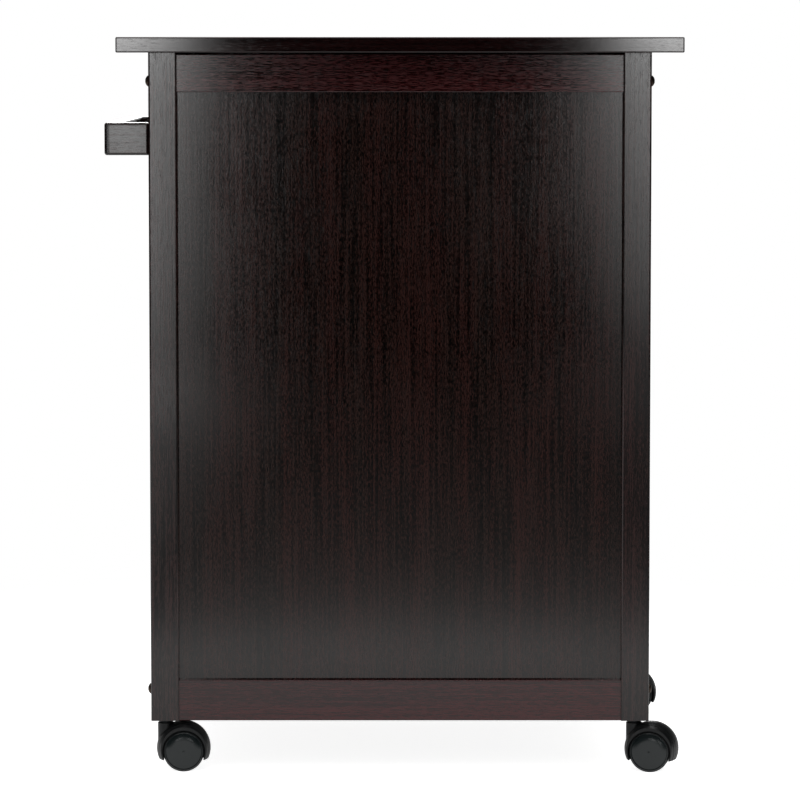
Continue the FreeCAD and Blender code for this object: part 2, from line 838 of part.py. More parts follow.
def caster_stem():
    """Stem in the socket, a collar, and the spindle that the hood turns on."""
    top = body_clearance + stem_length
    return turned((0, spindle_foot), (spindle_ring_radius, spindle_foot),
                  (spindle_ring_radius, spindle_foot + spindle_ring_height),
                  (spindle_radius, spindle_foot + spindle_ring_height), (spindle_radius, collar_bottom),
                  (collar_radius, collar_bottom), (collar_radius, collar_top), (stem_radius, collar_top),
                  (stem_radius, top - stem_chamfer), (stem_radius - stem_chamfer, top), (0, top))


def spindle_bore():
    ring_top = spindle_foot + spindle_ring_height + thrust_gap
    ring, bore = spindle_ring_radius + swivel_gap, spindle_radius + swivel_gap
    low, high = spindle_foot - thrust_gap, collar_bottom + overrun
    return turned((0, low), (ring, low), (ring, ring_top), (bore, ring_top), (bore, high), (0, high))


def crown_radius(offset):
    """Radius of the hood's crowned top at a distance from its middle."""
    rise = hood_crown_radius - hood_rim_radius
    curve = (hood_half_width ** 2 + rise ** 2) / (2 * rise)
    return hood_crown_radius - curve + math.sqrt(curve ** 2 - offset ** 2)


def hood_rib_groove(offset):
    """Shallow groove around the hood, between two of its ribs."""
    start = crown_centre + Y_AXIS * (offset - hood_rib_width / 2)
    ring = rod(start, Y_AXIS, hood_rib_width, hood_crown_radius + overrun)
    return ring.cut(rod(start, Y_AXIS, hood_rib_width, crown_radius(offset) - hood_rib_depth))


def caster_hood():
    """Crowned hood with a middle web, a boss for the spindle and a boss for the axle."""
    half = hood_half_width
    shell = turned((0, -half), (hood_rim_radius, -half),
                   ((hood_crown_radius, 0), (hood_rim_radius, half)), (0, half))
    shell = placed(shell, crown_centre, Y_AXIS)
    grooves = [hood_rib_groove(side * step * hood_rib_spacing) for side in SIDES for step in (1, 2, 3)]
    boss_top = collar_bottom - thrust_gap
    shoulder = hood_boss_radius - hood_boss_easing
    boss = turned((0, hood_boss_foot), (hood_boss_radius, hood_boss_foot),
                  (hood_boss_radius, boss_top - hood_boss_easing), (shoulder, boss_top), (0, boss_top))
    reach = hood_crown_radius + overrun
    below = block((-trail - reach, reach), (-half - overrun, half + overrun),
                  (wheel_radius - reach, hood_skirt_height))
    web = Y_AXIS * hood_web_half
    axle_boss = rod(axle_centre - web, Y_AXIS, hood_web_half * 2, hood_axle_boss_radius)
    body = fused(shell.cut(grooves).cut(below), boss, axle_boss)
    chambers = [rod(axle_centre + web * side, Y_AXIS * side, half + overrun, hood_chamber_radius)
                for side in SIDES]
    axle_bore = rod(axle_centre - web * 2, Y_AXIS, hood_web_half * 4, axle_radius + glue_gap)
    return body.cut(chambers + [axle_bore, spindle_bore()])


def caster_axle():
    inner, half = axle_radius - axle_chamfer, axle_half_length
    pin = turned((0, -half), (inner, -half), (axle_radius, axle_chamfer - half),
                 (axle_radius, half - axle_chamfer), (inner, half), (0, half))
    return placed(pin, axle_centre, Y_AXIS)


def caster_wheel(side):
    """Wheel with a domed disc on its outer face, hollow behind it around the hub."""
    bore = axle_radius + axle_gap
    bore_end = axle_half_length + hole_end_gap
    disc_back = wheel_outer_face - wheel_disc_thickness
    disc_edge = wheel_outer_face - wheel_disc_step
    middle, drop = dome_middle(wheel_disc_radius, wheel_disc_dome)
    top = disc_edge + wheel_disc_dome
    shoulder = wheel_radius - wheel_tread_easing
    rim = wheel_radius - wheel_rim_thickness
    wheel = turned((bore, wheel_inner_face), (wheel_hub_radius, wheel_inner_face),
                   (wheel_hub_radius, disc_back), (rim, disc_back), (rim, wheel_inner_face),
                   (shoulder, wheel_inner_face),
                   (wheel_radius, wheel_inner_face + wheel_tread_easing),
                   (wheel_radius, wheel_outer_face - wheel_tread_easing), (shoulder, wheel_outer_face),
                   (wheel_disc_radius, wheel_outer_face), (wheel_disc_radius, disc_edge),
                   ((middle, top - drop), (0, top)), (0, bore_end), (bore, bore_end))
    return placed(wheel, axle_centre, Y_AXIS * side)


def on_foot(shape, foot, heading=0):
    """Turn a caster's piece to its heading and move it under its post."""
    moved = shape.copy()
    moved.rotate(Vector(0, 0, 0), Z_AXIS, heading)
    moved.translate(foot)
    return moved


# Every node

def save_frame():
    holes = bolt_holes() + nut_holes() + dowel_holes() + screw_holes() + shelf_pin_holes() + socket_holes()
    cutters = holes + panel_grooves()
    save("worktop", worktop())
    for end, end_name in ((FRONT, "front"), (BACK, "back")):
        for side, side_name in ((LEFT, "left"), (RIGHT, "right")):
            save("post_" + end_name + "_" + side_name, post(side, end, cutters))
        save(end_name + "_top_rail", cross_rail(end, top_rail_bottom, top_rail_tops[end], cutters))
        bottom_cutters = cutters + [floor_rabbet()]
        save(end_name + "_bottom_rail", cross_rail(end, body_clearance, bottom_rail_top, bottom_cutters))
    save("front_middle_rail", middle_rail(cutters))
    save("side_rails", *[side_rail(side, low, high, cutters + [floor_rabbet()]) for side in SIDES
                         for low, high in ((body_clearance, bottom_rail_top), (top_rail_bottom, post_top))])
    save("side_panels", *[side_panel(side) for side in SIDES])
    save("back_panel", back_panel())
    save("floor_board", floor_board())
    save("shelf", shelf())
    save("shelf_pins", *shelf_pins())
    save("frame_bolts", *[placed(bolt(), point, direction) for point, direction in bolt_places()])
    save("barrel_nuts", *barrel_nuts())
    save("frame_dowels", *[placed(dowel(), point, direction) for point, direction in dowel_places()])
    save("worktop_cleats", *[cleat(side, holes) for side in SIDES])
    save("wood_screws", *screws())
    save("drawer_runners", *[runner(side, holes) for side in SIDES])
    save("towel_bar", towel_bar())
    save("towel_bar_arms", *[towel_bar_arm(end, holes) for end in ENDS])


def save_drawer():
    save("drawer_front", drawer_front())
    save("drawer_sides", *[drawer_side(side) for side in SIDES])
    save("drawer_back", drawer_back())
    save("drawer_bottom", drawer_bottom())
    save("drawer_knobs", *[placed(knob(), place, Y_AXIS * FRONT) for place in drawer_knob_places()])


def save_doors():
    for side, name in ((LEFT, "door_left_"), (RIGHT, "door_right_")):
        save(name + "frame", *door_frame(side))
        save(name + "panel", door_panel(side))
        save(name + "knob", placed(knob(), door_knob_place(side), Y_AXIS * FRONT))
        save(name + "strike", strike_plate(side))
        save(name + "hinge_leaves", *[hinge_leaf(side, height, False) for height in hinge_heights])
    post_leaves = [hinge_leaf(side, height, True) for side in SIDES for height in hinge_heights]
    save("hinge_post_leaves", *post_leaves)
    save("hinge_pins", *[hinge_pin(side, height) for side in SIDES for height in hinge_heights])
    save("magnetic_catch", magnetic_catch())


def save_casters():
    save("caster_sockets", *[on_foot(caster_socket(), foot) for name, foot in caster_places()])
    save("caster_stems", *[on_foot(caster_stem(), foot) for name, foot in caster_places()])
    for name, foot in caster_places():
        heading = headings[name]
        save("caster_" + name + "_hood", on_foot(caster_hood(), foot, heading))
        save("caster_" + name + "_axle", on_foot(caster_axle(), foot, heading))
        for side, face in ((FRONT, "front"), (BACK, "back")):
            save("caster_" + name + "_wheel_" + face, on_foot(caster_wheel(side), foot, heading))


save_frame()
save_drawer()
save_doors()
save_casters()
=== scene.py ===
import json
import math

import bmesh
import bpy
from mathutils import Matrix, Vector


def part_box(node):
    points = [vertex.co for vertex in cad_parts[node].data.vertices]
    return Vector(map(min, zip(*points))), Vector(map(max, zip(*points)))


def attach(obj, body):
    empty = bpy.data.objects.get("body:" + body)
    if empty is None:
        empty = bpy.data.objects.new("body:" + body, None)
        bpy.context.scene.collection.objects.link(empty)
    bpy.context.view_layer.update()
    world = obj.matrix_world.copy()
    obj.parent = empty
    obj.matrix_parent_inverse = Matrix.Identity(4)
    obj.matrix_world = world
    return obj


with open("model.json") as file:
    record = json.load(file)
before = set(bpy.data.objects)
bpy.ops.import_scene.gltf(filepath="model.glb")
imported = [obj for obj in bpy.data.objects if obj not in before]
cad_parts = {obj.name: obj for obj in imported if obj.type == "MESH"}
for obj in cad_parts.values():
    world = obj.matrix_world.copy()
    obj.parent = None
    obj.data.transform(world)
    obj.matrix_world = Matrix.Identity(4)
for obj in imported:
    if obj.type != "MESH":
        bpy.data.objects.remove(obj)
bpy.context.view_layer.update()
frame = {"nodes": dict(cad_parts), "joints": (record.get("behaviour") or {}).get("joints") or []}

NODES = frame["nodes"]

# Sizes in metres and angles in radians. The frame is the CAD's: Z up, the
# doors at -Y, the panelled back at +Y and the towel bar at +X.
MM = 0.001
X, Y, Z = 0, 1, 2

# The photograph, 800 pixels square, shows the back straight on.
PHOTO_WIDTH = 800
FOCAL_PIXELS = 3940.0
CENTRE_SHIFT = -7.55 * MM
BACK_FACE = 220.0 * MM
CAMERA_DISTANCE = 4.6
CAMERA_HEIGHT = 0.849
CAMERA_PITCH = math.radians(4.383)
CAMERA_SHIFT = -0.06
CAMERA_REACH = (0.05, 60.0)
SENSOR_WIDTH = 36.0 * MM
WHITE = (1.0, 1.0, 1.0, 1.0)

# Softboxes beside the camera and, mirrored, beyond the doors. Their brightness is a
# table over the height above the floor, times a share that falls off towards the middle.
SOFTBOX_DISTANCE = 3.68
SOFTBOX_REACH = (0.30, 0.95)
SOFTBOX_HEIGHTS = (0.08, 1.0)
SOFTBOX_TOE_IN = 0.6
SOFTBOX_FEATHER = ((0.30, 0.0), (0.35, 0.01), (0.39, 0.08), (0.43, 0.26), (0.50, 0.67), (0.55, 0.93),
                   (0.60, 1.0), (0.63, 0.9), (0.70, 0.12), (0.78, 0.04), (0.95, 0.02))
BAR_SIDE_FADE = ((0.08, 1.3), (0.148, 1.75), (0.239, 2.3), (0.375, 3.3), (0.485, 4.3), (0.60, 5.1),
                 (0.70, 6.0), (0.83, 6.8), (0.865, 12.8), (1.0, 13.0))
FAR_SIDE_FADE = ((0.08, 0.35), (0.19, 0.5), (0.24, 0.7), (0.285, 1.2), (0.33, 1.75), (0.375, 2.2),
                 (0.44, 2.8), (0.62, 4.2), (0.72, 5.8), (0.83, 6.8), (0.865, 12.8), (1.0, 13.0))
OVERHEAD_HEIGHT, OVERHEAD_SIZE, OVERHEAD_RADIANCE = 3.2, (2.4, 2.4), 1.7
BOOM_DISTANCE, BOOM_HEIGHT, BOOM_AIM, BOOM_SIZE, BOOM_RADIANCE = 1.7, 2.9, 0.2, (1.8, 0.6), 4.2

# The world: how bright it is as fill, and to mirrors at the horizon and below it.
# SKY_DIM and BEYOND_DIM are an edge, its softness and the share taken off past it.
WORLD_FILL = 0.62
HORIZON_GLOSS = 0.4
ROOM_GLOSS = 0.03
HORIZON_SOFT = 0.02
SKY_DIM = (0.225, 0.125, 0.88)
BEYOND_DIM = (-0.75, 0.2, 0.94)

# The floor: FLOOR_FADE is its painted glow to mirrors over the distance from the cart, and
# FLOOR_LIT a painted pool of light over the distance to either side, where the far side has only a share
# of it.
FLOOR_RADIUS = 6.5
FLOOR_SEGMENTS = 96
FLOOR_SHADE = 0.13
FLOOR_SWEEP = 0.95
FLOOR_FADE = ((0.0, 0.54), (0.56, 0.54), (0.92, 0.76), (1.11, 0.96), (1.32, 0.94), (1.54, 0.60),
              (1.76, 0.43), (2.03, 0.31), (2.32, 0.22), (2.97, 0.16), (3.76, 0.10), (4.95, 0.03),
              (6.21, 0.00))
FLOOR_LIT = ((0.2, 0.0), (0.27, 0.07), (0.35, 0.24), (0.43, 0.50), (0.50, 0.80), (1.0, 0.85))
FAR_SIDE_SHARE = 0.27
BLACK_TO_WHITE = [(0.0, 0.0), (1.0, 1.0)]

# Hinges and the small screws in them
HINGE_HEIGHTS = (180.0 * MM, 550.0 * MM)
HINGE_POST_FACE = 259.5 * MM
HINGE_DOOR_FACE = 259.3 * MM
HINGE_SCREW_STEP = 16.0 * MM
HINGE_SCREW_Y = -212.5 * MM
HINGE_SCREW_STAGGER = 5.0 * MM
STRIKE_SCREW_INSET = 4.0 * MM
CATCH_SCREW_INSET = 4.5 * MM
HEAD_SEGMENTS = 28
DOME_RINGS = 12
DOME_SQUASH = 0.07
CONE_TAPER = 0.55
SLOT_LENGTH = 1.25
SLOT_FLOOR = 0.015 * MM
INSET_SHRINK = 0.97
TURN_SEED = 7
SLIVER = 0.004 * MM
SCREW_SIZES = {"Head Radius": 2.6 * MM, "Head Rise": -0.1 * MM, "Head Sink": 0.8 * MM,
               "Slot Width": 0.7 * MM, "Slot Depth": 0.9 * MM}
SMALL_SCREW_SIZES = {"Head Radius": 2.0 * MM, "Head Rise": -0.1 * MM, "Head Sink": 0.7 * MM,
                     "Slot Width": 0.6 * MM, "Slot Depth": 0.8 * MM}


# Shader maths

class Sock:
    """A node socket, or a plain number, that builds Math nodes from Python operators."""

    def __init__(self, maker, link):
        self.maker, self.link = maker, link

    def _math(self, operation, *others):
        return self.maker.node("ShaderNodeMath", {"operation": operation}, [self, *others])

    def __add__(self, other):
        return self._math("ADD", other)

    __radd__ = __add__

    def __mul__(self, other):
        return self._math("MULTIPLY", other)

    __rmul__ = __mul__

    def __sub__(self, other):
        return self._math("SUBTRACT", other)

    def __rsub__(self, other):
        return self.maker.node("ShaderNodeMath", {"operation": "SUBTRACT"}, [other, self])

    def __truediv__(self, other):
        return self._math("DIVIDE", other)

    def __pow__(self, other):
        return self._math("POWER", other)

    def __abs__(self):
        return self._math("ABSOLUTE")

    def least(self, other):
        return self._math("MINIMUM", other)

    def most(self, other):
        return self._math("MAXIMUM", other)

    def rounded_down(self):
        return self._math("FLOOR")

    def fraction(self):
        return self._math("FRACT")

    def wave(self):
        return self._math("SINE")

    def above(self, edge, soft):
        """0 below an edge and 1 above it, with a smooth step between."""
        return self.maker.node("ShaderNodeMapRange", {"interpolation_type": "SMOOTHSTEP"},
                               {"Value": self, "From Min": edge - soft, "From Max": edge + soft})

    def below(self, edge, soft):
        return 1 - self.above(edge, soft)


class Nodes:
    """A node tree under construction: one method adds any node, and the rest are shorthand."""

    def __init__(self, tree):
        self.tree = tree
        tree.nodes.clear()

    def node(self, kind, settings=None, inputs=None, output=0):
        """Add a node: its settings first, then its sockets' values, links or lists of links."""
        made = self.tree.nodes.new(kind)
        for key, value in (settings or {}).items():
            if key == "stops":
                fill_ramp(made.color_ramp, value)
            else:
                setattr(made, key, value)
        pairs = inputs.items() if isinstance(inputs, dict) else enumerate(inputs or [])
        for key, value in pairs:
            socket = made.inputs[key]
            if isinstance(value, Sock):
                self.tree.links.new(value.link, socket)
            elif isinstance(value, list):
                for part in value:
                    self.tree.links.new(part.link, socket)
            else:
                socket.default_value = value
        return Sock(self, made.outputs[output]) if len(made.outputs) else None

    def axes(self, vector):
        """The three components of a vector."""
        return [self.node("ShaderNodeSeparateXYZ", None, [vector], output=i) for i in range(3)]

    def join(self, x, y, z):
        return self.node("ShaderNodeCombineXYZ", None, [x, y, z])

    def ramp(self, factor, stops):
        return self.node("ShaderNodeValToRGB", {"stops": stops}, {"Fac": factor})

    def table(self, value, stops):
        """Read a table of (value, level) pairs, whatever their range."""
        first, last, most = stops[0][0], stops[-1][0], max(level for _, level in stops)
        reach = last - first
        return self.ramp((value - first) / reach,
                         [((place - first) / reach, level / most) for place, level in stops]) * most

    def ray(self, kind):
        return self.node("ShaderNodeLightPath", output="Is " + kind + " Ray")


class Finish(Nodes):
    """The material of a piece."""

    def __init__(self, name):
        self.material = bpy.data.materials.new(name)
        self.material.use_nodes = True
        super().__init__(self.material.node_tree)
        self.raw_place = self.placed = self.node("ShaderNodeTexCoord", output="Object")
        self.faced = self.node("ShaderNodeTexCoord", output="Normal")

    def turn_grain(self, mask):
        """Swap X and Z where the mask is 1, so that rails have their grain across their stiles'."""
        for name in ("placed", "faced"):
            old = getattr(self, name)
            x, y, z = self.axes(old)
            setattr(self, name, self.node("ShaderNodeMix", {"data_type": "VECTOR"},
                                          {0: mask, 4: old, 5: self.join(z, y, x)}, output=1))

    def slide(self, x, y, z):
        """Move every later pattern by three amounts that may vary over the piece."""
        self.placed = self.node("ShaderNodeVectorMath", {"operation": "ADD"},
                                [self.placed, self.join(x, y, z)])

    def stretched(self, scales, shift=(0.0, 0.0, 0.0)):
        """Object coordinates scaled along each axis, in repeats per metre."""
        return self.node("ShaderNodeMapping", None,
                         {"Vector": self.placed, "Location": shift, "Scale": scales})

    def even(self, repeats, shift=(0.0, 0.0, 0.0)):
        """Object coordinates scaled alike along all three axes."""
        return self.stretched((repeats,) * 3, shift)

    def noise(self, vector, detail=3.0, roughness=0.55, distortion=0.0):
        return self.node("ShaderNodeTexNoise", None,
                         {"Vector": vector, "Scale": 1.0, "Detail": detail, "Roughness": roughness,
                          "Distortion": distortion})

    def mix(self, factor, first, second, blend="MIX"):
        """Mix two colours."""
        return self.node("ShaderNodeMix", {"data_type": "RGBA", "blend_type": blend},
                         {0: factor, 6: first, 7: second}, output=2)

    def bump(self, height, strength, distance, normal=None):
        inputs = {"Strength": strength, "Distance": distance, "Height": height}
        if normal is not None:
            inputs["Normal"] = normal
        return self.node("ShaderNodeBump", None, inputs)

    def done(self, varying, fixed=None):
        """Close the material: varying sockets are linked, fixed ones are set on the shader."""
        shader = self.node("ShaderNodeBsdfPrincipled", None, {**(fixed or {}), **varying})
        self.node("ShaderNodeOutputMaterial", None, {"Surface": shader})
        return self.material


def fill_ramp(ramp, stops):
    """Stops are (position, colour) pairs, or (position, grey level) pairs."""
    while len(ramp.elements) > 1:
        ramp.elements.remove(ramp.elements[-1])
    for index, (position, colour) in enumerate(stops):
        element = ramp.elements[0] if index == 0 else ramp.elements.new(position)
        element.position = position
        element.color = (*colour, 1.0) if isinstance(colour, tuple) else (colour, colour, colour, 1.0)


def rgba(colour):
    return (*colour, 1.0)


def shaded(colour, share):
    """A colour made darker, or lighter, by a share."""
    return tuple(part * share for part in colour)


# Wood. Repeats are per metre, along and across the grain.

FIGURE_REPEATS = (1.4, 34.0)
STREAK_REPEATS = (6.0, 330.0)
DASH_ACROSS = 1150.0
PORE_REPEATS = (90.0, 1500.0)
RING_REPEATS = 420.0
CLOUD_REPEATS = 7.0
RUB_REPEATS = 90.0
BARE_FIGURE_REPEATS = (2.4, 34.0)
BARE_STREAK_REPEATS = (14.0, 420.0)
BARE_FLECK_REPEATS = (120.0, 1500.0)
EDGE_RUB = 1.6 * MM
JOINT_LINE = 0.25 * MM
PLY_LAYER = 1.25 * MM
RED_FIGURE = (1.25, 0.88, 0.90)
GRAIN_DEPTH = 0.009 * MM
BARE_GRAIN_DEPTH = 0.2 * MM

# How far the figure, the long lines and the dashes move the tone, and where it rests
FIGURE_WEIGHT, LINE_WEIGHT, DASH_WEIGHT, REST_TONE = 0.6, 1.8, 4.6, 0.55
# A facing beyond this, and the softness of its edge, counts as end grain
END_FACING, END_SOFT = 0.72, 0.12
# Shares of the darkest tone in the pores, the glue lines and the end grain
PORE_SHADE, JOINT_SHADE, END_SHADE = 0.35, 0.3, 0.4

# Dark, middle and light tones of each stain; the bottom rails' tones are lightened with painted bounce
# light from the floor
PANEL_TONES = ((0.0010, 0.0006, 0.0005), (0.0098, 0.0049, 0.0038), (0.0235, 0.0115, 0.0092))
RAIL_TONES = ((0.0080, 0.0002, 0.0003), (0.0205, 0.0018, 0.0021), (0.0520, 0.0150, 0.0155))
FRONT_TONES = ((0.0058, 0.0012, 0.0013), (0.0146, 0.0036, 0.0036), (0.0370, 0.0130, 0.0128))
POST_TONES = ((0.0024, 0.0014, 0.0013), (0.0090, 0.0048, 0.0043), (0.0270, 0.0150, 0.0135))
WORKTOP_TONES = ((0.0042, 0.0005, 0.0005), (0.0118, 0.0020, 0.0020), (0.0310, 0.0080, 0.0076))
# Painted light: the rail stain made lighter on the bottom rails, standing in for bounce light from the
# floor
BOUNCE_LIT_RAIL_TONES = ((0.0140, 0.0024, 0.0028), (0.0250, 0.0038, 0.0044), (0.0460, 0.0100, 0.0108))
PLAIN_TONES = ((0.40, 0.27, 0.16), (0.53, 0.385, 0.25), (0.64, 0.50, 0.35))


def by_grain(axis, repeats):
    """Scales for Object coordinates, with the grain along one axis."""
    return tuple(repeats[0] if i == axis else repeats[1] for i in range(3))


def edge_rub(finish, low, high):
    """1 on the long edges of a box-shaped piece, where handling thins the lacquer."""
    places = finish.axes(finish.raw_place)
    x, y, z = [(place - low[i]).least(high[i] - place) for i, place in enumerate(places)]
    nearest_two = x.least(y).most(x.most(y).least(z))
    ragged = finish.noise(finish.even(RUB_REPEATS), detail=4.0)
    return (nearest_two - ragged * (EDGE_RUB * 0.9)).below(EDGE_RUB * 0.2, EDGE_RUB * 0.6)


def glued_staves(finish, low, width):
    """Give each stave of a board its own grain, and return 1 on the lines between them."""
    across = (finish.axes(finish.raw_place)[Y] - low) / width
    stave = finish.node("ShaderNodeTexWhiteNoise", {"noise_dimensions": "1D"},
                        {"W": across.rounded_down()})
    finish.slide(stave * 9.0, 0.0, stave * 4.0)
    edge = abs(across.fraction() - 0.5) * (width * 2)
    return edge.above(width - JOINT_LINE * 2, JOINT_LINE)


def stained_wood(name, look, grain, box, ply=None, rails=None, stave=None, shift=0.0):
    """Espresso stain under satin lacquer: figure, streaks, pores, end grain and rubbed edges.

    ply is the axis through a plywood's layers, rails the X range of a door's rails
    between their stiles, and stave the width of a board's glued strips.
    """
    tones, sheen, fleck, lines, dashes = LOOKS[look]
    f = Finish(name)
    if rails:
        x = f.axes(f.raw_place)[X]
        f.turn_grain(x.above(rails[0], JOINT_LINE) * x.below(rails[1], JOINT_LINE))
    joints = glued_staves(f, box[0][Y], stave) if stave else None
    offset = (shift, shift * 1.7, shift * 2.3)
    figure = f.noise(f.stretched(by_grain(grain, FIGURE_REPEATS), offset), detail=4.0, distortion=0.6)
    streak = f.noise(f.stretched(by_grain(grain, STREAK_REPEATS), offset), detail=5.0, roughness=0.72)
    dash = f.noise(f.stretched(by_grain(grain, (dashes, DASH_ACROSS)), offset), detail=2.0, roughness=0.6)
    pores = f.noise(f.stretched(by_grain(grain, PORE_REPEATS), offset), detail=1.0).above(0.60, 0.06)
    cloud = f.noise(f.even(CLOUD_REPEATS, offset), detail=2.0)
    tone = ((figure - 0.5) * FIGURE_WEIGHT + (streak - 0.5) * (LINE_WEIGHT * lines)
            + (dash - 0.5) * (DASH_WEIGHT * fleck) + REST_TONE)
    dark, middle, light = tones
    colour = f.ramp(tone, [(0.20, dark), (0.50, middle), (0.82, light)])
    colour = f.mix(figure.above(0.50, 0.16), colour, rgba(RED_FIGURE), blend="MULTIPLY")
    colour = f.mix(pores * 0.5, colour, rgba(shaded(dark, PORE_SHADE)))
    if joints:
        colour = f.mix(joints * 0.7, colour, rgba(shaded(dark, JOINT_SHADE)))
    if ply is None:
        end = abs(f.axes(f.faced)[grain]).above(END_FACING, END_SOFT)
        ring = f.noise(f.even(RING_REPEATS, offset), detail=4.0, roughness=0.7)
    else:
        end = 1 - abs(f.axes(f.faced)[ply]).above(END_FACING, END_SOFT)
        layer = (f.axes(f.raw_place)[ply] * (math.pi / PLY_LAYER)).wave() * 0.5 + 0.5
        ring = layer * 0.6 + dash * 0.4
    colour = f.mix(end, colour, f.ramp(ring, [(0.30, shaded(dark, END_SHADE)), (0.80, middle)]))
    rub = edge_rub(f, *box)
    colour = f.mix(rub * 0.2, colour, rgba(light))
    rough = (cloud - 0.5) * 0.08 + (streak - 0.5) * (0.07 * lines) + (dash - 0.5) * (0.20 * fleck) + sheen
    rough = rough + pores * 0.06 + end * 0.12 + rub * 0.06
    height = dash * fleck + streak * lines + (1 - pores) * 0.15 + ring * end * 0.3
    if joints:
        height = height - joints * 1.5
    normal = f.bump(height, 1.0, GRAIN_DEPTH)
    return f.done({"Base Color": colour, "Roughness": rough, "Normal": normal}, {"IOR": 1.5})


def bare_wood(name, grain, shift):
    """Sanded, unstained hardwood of the drawer box and its runners."""
    f = Finish(name)
    offset = (shift, shift * 1.7, shift * 2.3)
    figure = f.noise(f.stretched(by_grain(grain, BARE_FIGURE_REPEATS), offset), detail=4.0, distortion=1.1)
    streak = f.noise(f.stretched(by_grain(grain, BARE_STREAK_REPEATS), offset), detail=5.0, roughness=0.7)
    fleck = f.noise(f.stretched(by_grain(grain, BARE_FLECK_REPEATS), offset), detail=1.0).above(0.63, 0.05)
    dark, middle, light = PLAIN_TONES
    colour = f.ramp(figure * 0.6 + streak * 0.4, [(0.30, dark), (0.52, middle), (0.72, light)])
    colour = f.mix(fleck * 0.4, colour, rgba(shaded(dark, 0.62)))
    end = abs(f.axes(f.faced)[grain]).above(END_FACING, END_SOFT)
    ring = f.noise(f.even(RING_REPEATS, offset), detail=4.0)
    colour = f.mix(end * 0.8, colour, f.ramp(ring, [(0.35, shaded(dark, 0.55)), (0.68, middle)]))
    rough = streak * 0.15 + fleck * 0.1 + 0.48
    normal = f.bump(streak * 0.5 + (1 - fleck) * 0.3, 0.2, BARE_GRAIN_DEPTH)
    return f.done({"Base Color": colour, "Roughness": rough, "Normal": normal}, {"IOR": 1.48})


# Metal and plastic

WHEEL_DISC_RADIUS = 21.5 * MM
DISC_CURVE = 78.5 * MM
DISC_ROLL = 13.0 * MM
DISC_ROLL_DROP = 1.9 * MM
TURNING_PITCH = 0.9 * MM
SPARK_GRAIN_REPEATS = 2400.0
DRAWING_REPEATS = (2600.0, 2600.0, 240.0)
SCUFF_REPEATS = (900.0, 260.0, 90.0)
TREAD_TONES = ((0.010, 0.011, 0.012), (0.034, 0.034, 0.034))
DUST = (0.10, 0.10, 0.10)
NYLON = (0.0062, 0.0100, 0.0106)
METALS = {
    # finish: (colour, rubbed colour, roughness)
    "oiled_bronze": ((0.060, 0.042, 0.030), (0.30, 0.17, 0.09), 0.34),
    "bright_zinc": ((0.58, 0.58, 0.57), (0.34, 0.34, 0.35), 0.30),
    "black_zinc": ((0.022, 0.023, 0.024), (0.16, 0.16, 0.16), 0.34),
    "bronzed_screws": ((0.085, 0.058, 0.040), (0.34, 0.20, 0.11), 0.32),
    "zinc_screws": ((0.55, 0.55, 0.54), (0.33, 0.33, 0.34), 0.30),
    # painted shade: the dark non-metal sheet in the screws' cross recesses, not a plating
    "screw_slot_shadow": ((0.006, 0.005, 0.005), (0.012, 0.010, 0.009), 0.6),
}


def plated(name, metallic=1.0):
    """Plated steel with faint drawing marks, dull patches and a few rubbed spots."""
    colour, worn, roughness = METALS[name]
    f = Finish(name)
    patch = f.noise(f.even(160.0), detail=4.0)
    mark = f.noise(f.stretched(DRAWING_REPEATS), detail=2.0)
    spot = f.noise(f.even(620.0), detail=3.0).above(0.66, 0.05)
    shade = f.mix(patch * 0.6, rgba(colour), rgba(shaded(colour, 0.62)))
    shade = f.mix(spot * 0.55, shade, rgba(worn))
    rough = patch * 0.16 + mark * 0.08 + roughness
    normal = f.bump(mark * 0.4 + patch * 0.3, 0.15, 0.06 * MM)
    return f.done({"Base Color": shade, "Roughness": rough, "Normal": normal}, {"Metallic": metallic})


def moulded(name, colour, roughness, grain_depth=0.03, ior=1.5):
    """Moulded plastic: fine spark-eroded grain, flow marks and light scuffs."""
    f = Finish(name)
    grain = f.noise(f.even(SPARK_GRAIN_REPEATS), detail=2.0)
    flow = f.noise(f.even(38.0), detail=3.0, distortion=1.0)
    scuff = f.noise(f.stretched(SCUFF_REPEATS), detail=3.0).above(0.68, 0.04)
    dust = f.noise(f.even(320.0), detail=4.0).above(0.62, 0.10)
    shade = f.mix(flow, rgba(shaded(colour, 0.75)), rgba(shaded(colour, 1.2)))
    shade = f.mix(dust * 0.05 + scuff * 0.08, shade, rgba(DUST))
    rough = flow * 0.10 + scuff * 0.14 + grain * 0.06 + roughness
    normal = f.bump(grain * 0.7 + flow * 0.3, 0.22, grain_depth * MM)
    return f.done({"Base Color": shade, "Roughness": rough, "Normal": normal}, {"IOR": ior})


